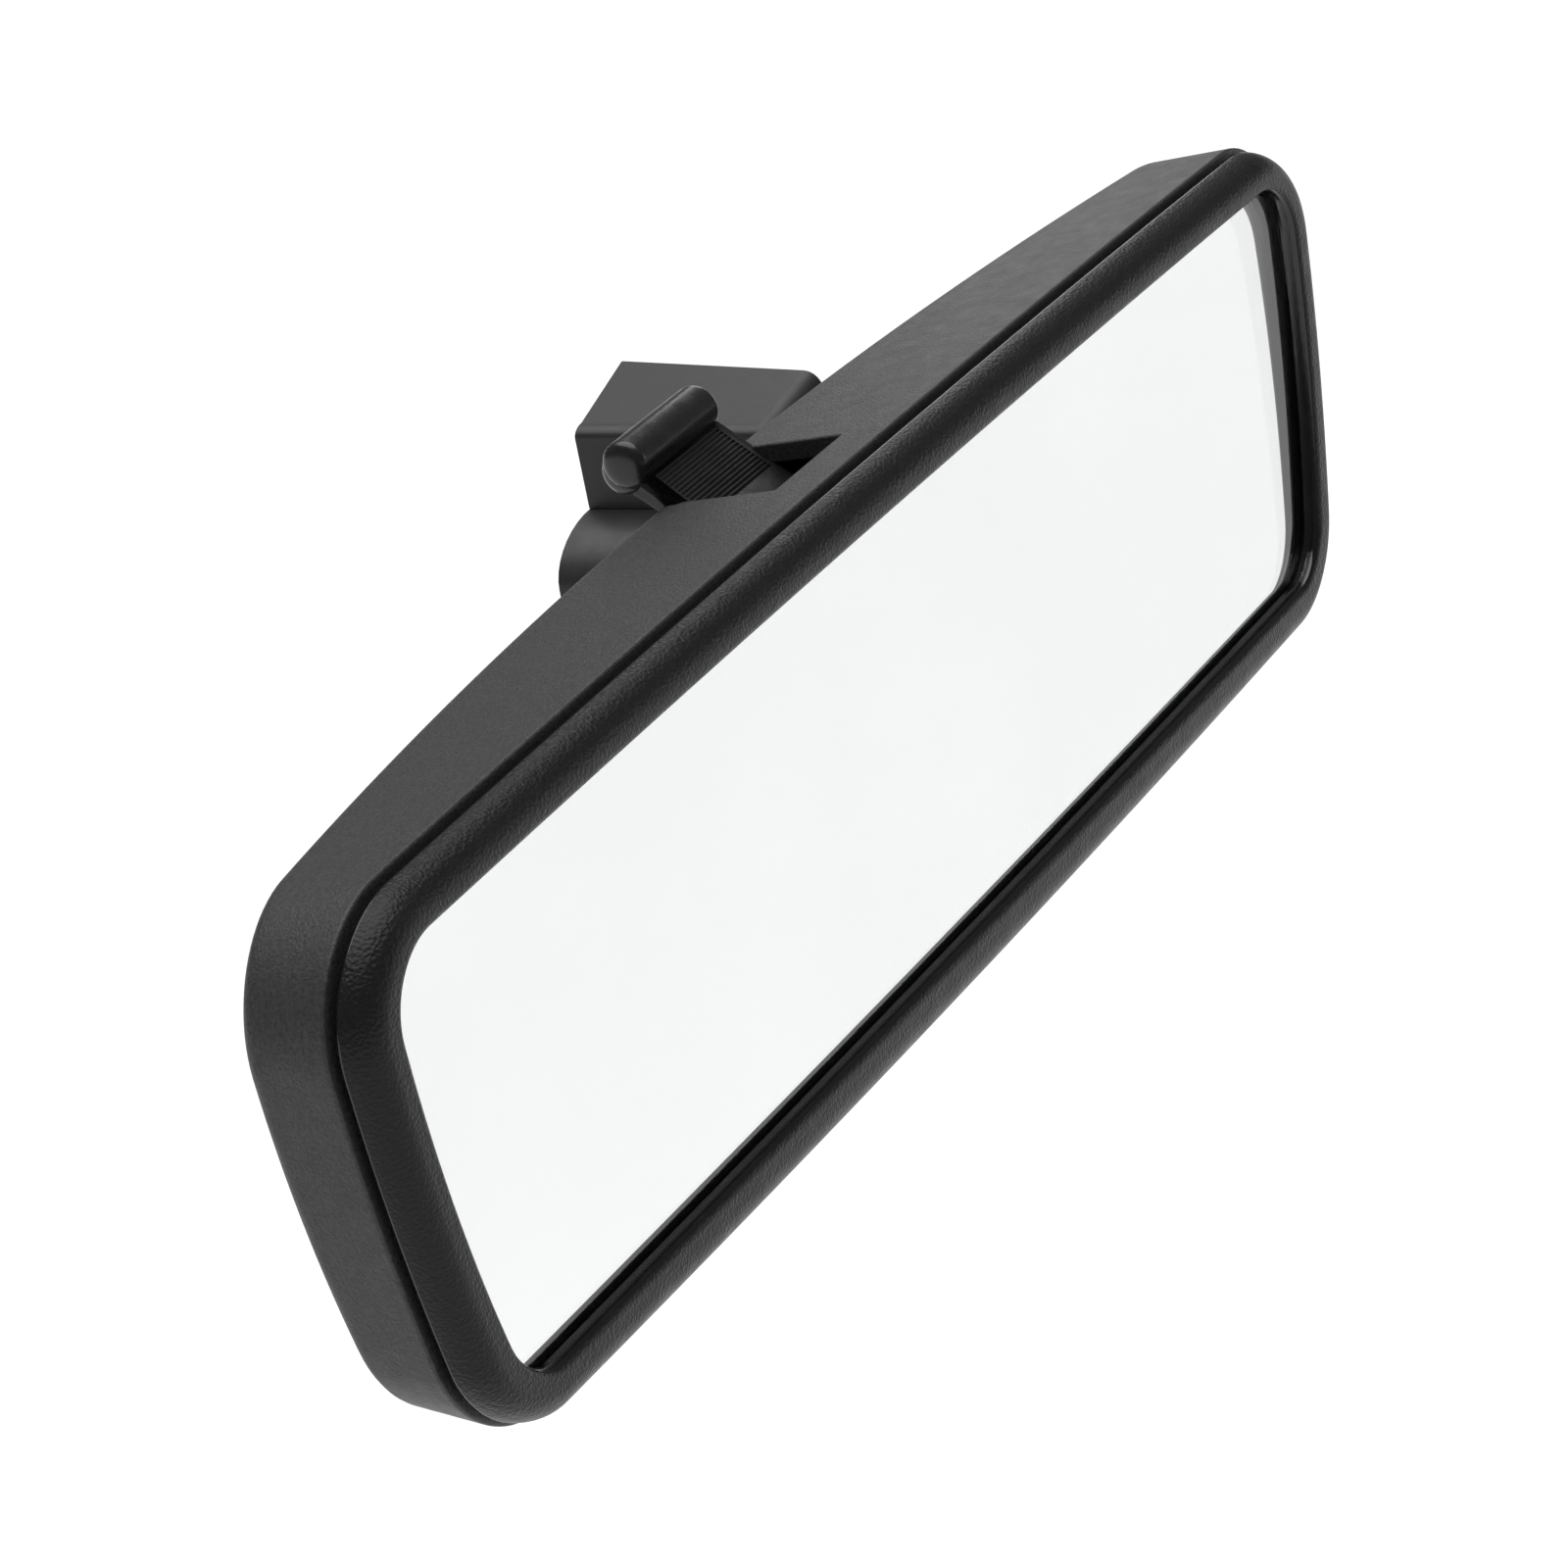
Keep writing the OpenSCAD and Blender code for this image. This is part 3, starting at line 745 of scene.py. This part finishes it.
PLASTICS = {
    "housing_plastic": dict(dark=(0.022, 0.022, 0.0235), light=(0.043, 0.043, 0.045),
                            rough=0.48, grain_per_mm=2.8, grain_depth=0.11),
    "bezel_plastic": dict(dark=(0.009, 0.009, 0.0095), light=(0.012, 0.012, 0.0125),
                          rough=0.34, grain_per_mm=2.4, grain_depth=0.08, pebble=True, specular=0.16),
    # The bezel's glossy material: a real gloss, and a darker tone that paints shade on the wall facing the glass
    # and in the seam groove.
    "bezel_gloss_painted_shade": dict(dark=(0.004, 0.004, 0.0045), light=(0.006, 0.006, 0.0065),
                        rough=0.12, grain_per_mm=0.8, grain_depth=0.02, specular=0.5),
    "lever_plastic": dict(dark=(0.011, 0.011, 0.0115), light=(0.014, 0.014, 0.0145),
                          rough=0.27, grain_per_mm=2.0, grain_depth=0.004, specular=0.4),
    "foot_plastic": dict(dark=(0.024, 0.024, 0.025), light=(0.028, 0.028, 0.029),
                         rough=0.42, grain_per_mm=3.0, grain_depth=0.012),
    "socket_plastic": dict(dark=(0.021, 0.021, 0.022), light=(0.025, 0.025, 0.026),
                           rough=0.38, grain_per_mm=3.0, grain_depth=0.008),
    "inner_plastic": dict(dark=(0.03, 0.03, 0.032), light=(0.045, 0.045, 0.047),
                          rough=0.5, grain_per_mm=4.0, grain_depth=0.01),
    "nylon": dict(dark=(0.62, 0.60, 0.54), light=(0.70, 0.68, 0.62),
                  rough=0.4, grain_per_mm=2.0, grain_depth=0.006),
}
METALS = {
    "bright_steel": dict(dark=(0.42, 0.42, 0.44), light=(0.58, 0.58, 0.60), rough=0.28, stretch=(1, 1, 6)),
    "black_steel": dict(dark=(0.035, 0.035, 0.038), light=(0.06, 0.06, 0.064), rough=0.42, stretch=(1, 1, 1)),
    "spring_steel": dict(dark=(0.34, 0.35, 0.38), light=(0.48, 0.49, 0.52), rough=0.3, stretch=(1, 8, 1)),
}


def build_materials():
    """Every material, by the name of the slot that it fills."""
    materials = {name: moulded_plastic(name, **look) for name, look in PLASTICS.items()}
    materials["mirror_glass"] = clear_glass()
    materials["silvering"] = silver()
    materials["foam"] = foam()
    for name, look in METALS.items():
        materials[name] = metal(name, **look)
    return materials


# ---------- putting it together ----------

EDGE_ROUNDING = {"arm": 0.7, "foot_body": 0.6, "socket_cap": 0.3}    # mm, where it isn't the usual 0.15


def finish_piece(piece, materials, material_slot, body, *nodes):
    """Gives a piece its material, its body and the CAD nodes that it replaces."""
    piece.data.materials.clear()
    piece.data.materials.append(materials[material_slot])
    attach(piece, body)
    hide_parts(*nodes)


def dress_cad_nodes(materials):
    """CAD nodes whose shape is right get their material, welded seams and softened edges."""
    slots = {row["node"]: row["material_slot"] for row in frame["record"]["subparts"]}
    for name, node in frame["nodes"].items():
        node.data.materials.clear()
        node.data.materials.append(materials[slots[name]])
        weld = node.modifiers.new("weld", "WELD")
        weld.merge_threshold = 1e-6
        bevel(node, EDGE_ROUNDING.get(name, 0.15))
        even_shading(node)


def split_bezel_finish_and_shade(piece, materials):
    """The face carries the grain; the wall that looks at the glass and the groove are glossy, in a darker tone
    that is painted shade.
    """
    piece.data.materials.append(materials["bezel_gloss_painted_shade"])
    for face in piece.data.polygons:
        at = in_head(face.center)
        near_glass = at.y > -BEZEL_CREST + 0.25 and face.normal.y > -0.75
        toward_middle = face.normal.x * at.x + face.normal.z * (at.z - MID_Z) * 3 < 0
        in_groove = at.y > -SEAM_GAP - 0.2 and face.normal.y > -0.45
        # These faces take the glossy material, whose darker tone is painted shade.
        if near_glass and toward_middle or in_groove:
            face.material_index = 1


def build_pieces(materials):
    finish_piece(rear_housing(), materials, "housing_plastic", "head", "rear_housing")
    rim = bezel()
    finish_piece(rim, materials, "bezel_plastic", "head", "bezel")
    split_bezel_finish_and_shade(rim, materials)
    finish_piece(mirror_glass(), materials, "mirror_glass", "head", "mirror_glass")
    finish_piece(mirror_coating(), materials, "silvering", "head", "mirror_coating")
    finish_piece(lever(), materials, "lever_plastic", "lever", "lever")
    finish_piece(foot_cover(), materials, "foot_plastic", "mount", "foot_cover")


# ---------- studio ----------

VIEW_AZIMUTH = 58.87
VIEW_DOWN = 22.19
VIEW_ROLL = 11.10
CAMERA_AT = Vector((-0.5645, -0.3566, 0.2329))
LENS = 128.25


def add_camera():
    """The camera, turned by its azimuth, its dip and its roll."""
    data = bpy.data.cameras.new("camera")
    data.sensor_width = 36
    data.lens = LENS
    data.clip_start = 0.01
    data.clip_end = 50
    camera = new_object("camera", data)
    turn = (Matrix.Rotation(math.radians(-VIEW_AZIMUTH), 4, "Z")
            @ Matrix.Rotation(math.radians(90 - VIEW_DOWN), 4, "X")
            @ Matrix.Rotation(math.radians(-VIEW_ROLL), 4, "Z"))
    camera.matrix_world = Matrix.Translation(CAMERA_AT) @ turn
    bpy.context.scene.camera = camera


def add_floor():
    """A pale floor well below the part."""
    drop = 0.45
    half = 9.0
    z = CAD_BOX[0].z - drop
    mesh = bpy.data.meshes.new("floor")
    mesh.from_pydata([(-half, -half, z), (half, -half, z), (half, half, z), (-half, half, z)],
                     [], [(0, 1, 2, 3)])
    floor = new_object("floor", mesh)
    material, tree, shader = new_material("floor")
    shader.inputs["Roughness"].default_value = 0.9
    shader.inputs["Specular IOR Level"].default_value = 0.1
    tree.links.new(two_tone(tree, noise_field(tree, 3, 2), (0.86, 0.86, 0.86), (0.88, 0.88, 0.88)),
                   shader.inputs["Base Color"])
    mesh.materials.append(material)


def add_sky():
    """Even white surroundings, and a wide soft light from above."""
    world = bpy.data.worlds.new("studio")
    world.use_nodes = True
    sky = world.node_tree.nodes["Background"]
    sky.inputs["Color"].default_value = (1, 1, 1, 1)
    sky.inputs["Strength"].default_value = 0.16
    bpy.context.scene.world = world
    dome = bpy.data.lights.new("dome", "SUN")
    dome.energy = 3.6
    dome.angle = math.radians(70)
    light = new_object("dome", dome)
    light.rotation_euler = (math.radians(-6), math.radians(8), 0)


def add_area_light(name, size, energy, target, offset):
    """A square light at offset from target, facing it."""
    data = bpy.data.lights.new(name, "AREA")
    data.size = size
    data.energy = energy
    light = new_object(name, data)
    light.location = target + Vector(offset)
    light.rotation_euler = (target - light.location).to_track_quat("-Z", "Y").to_euler()


def add_studio():
    """Floor, sky, a softbox in front for the bezel's highlights, and a strip behind the far end, whose
    sheen on the housing's top fades towards the near end."""
    middle = (CAD_BOX[0] + CAD_BOX[1]) / 2
    far_end = Vector((CAD_BOX[1].x, middle.y, CAD_BOX[1].z))
    add_floor()
    add_sky()
    add_area_light("softbox", 0.35, 1.0, middle, (0.72, -1.15, 0.25))
    add_area_light("strip", 0.1, 0.07, far_end, (0.16, 0.1, 0.08))


def main():
    add_camera()
    add_studio()
    materials = build_materials()
    dress_cad_nodes(materials)
    build_pieces(materials)
    bpy.context.scene.view_settings.view_transform = "Standard"


main()
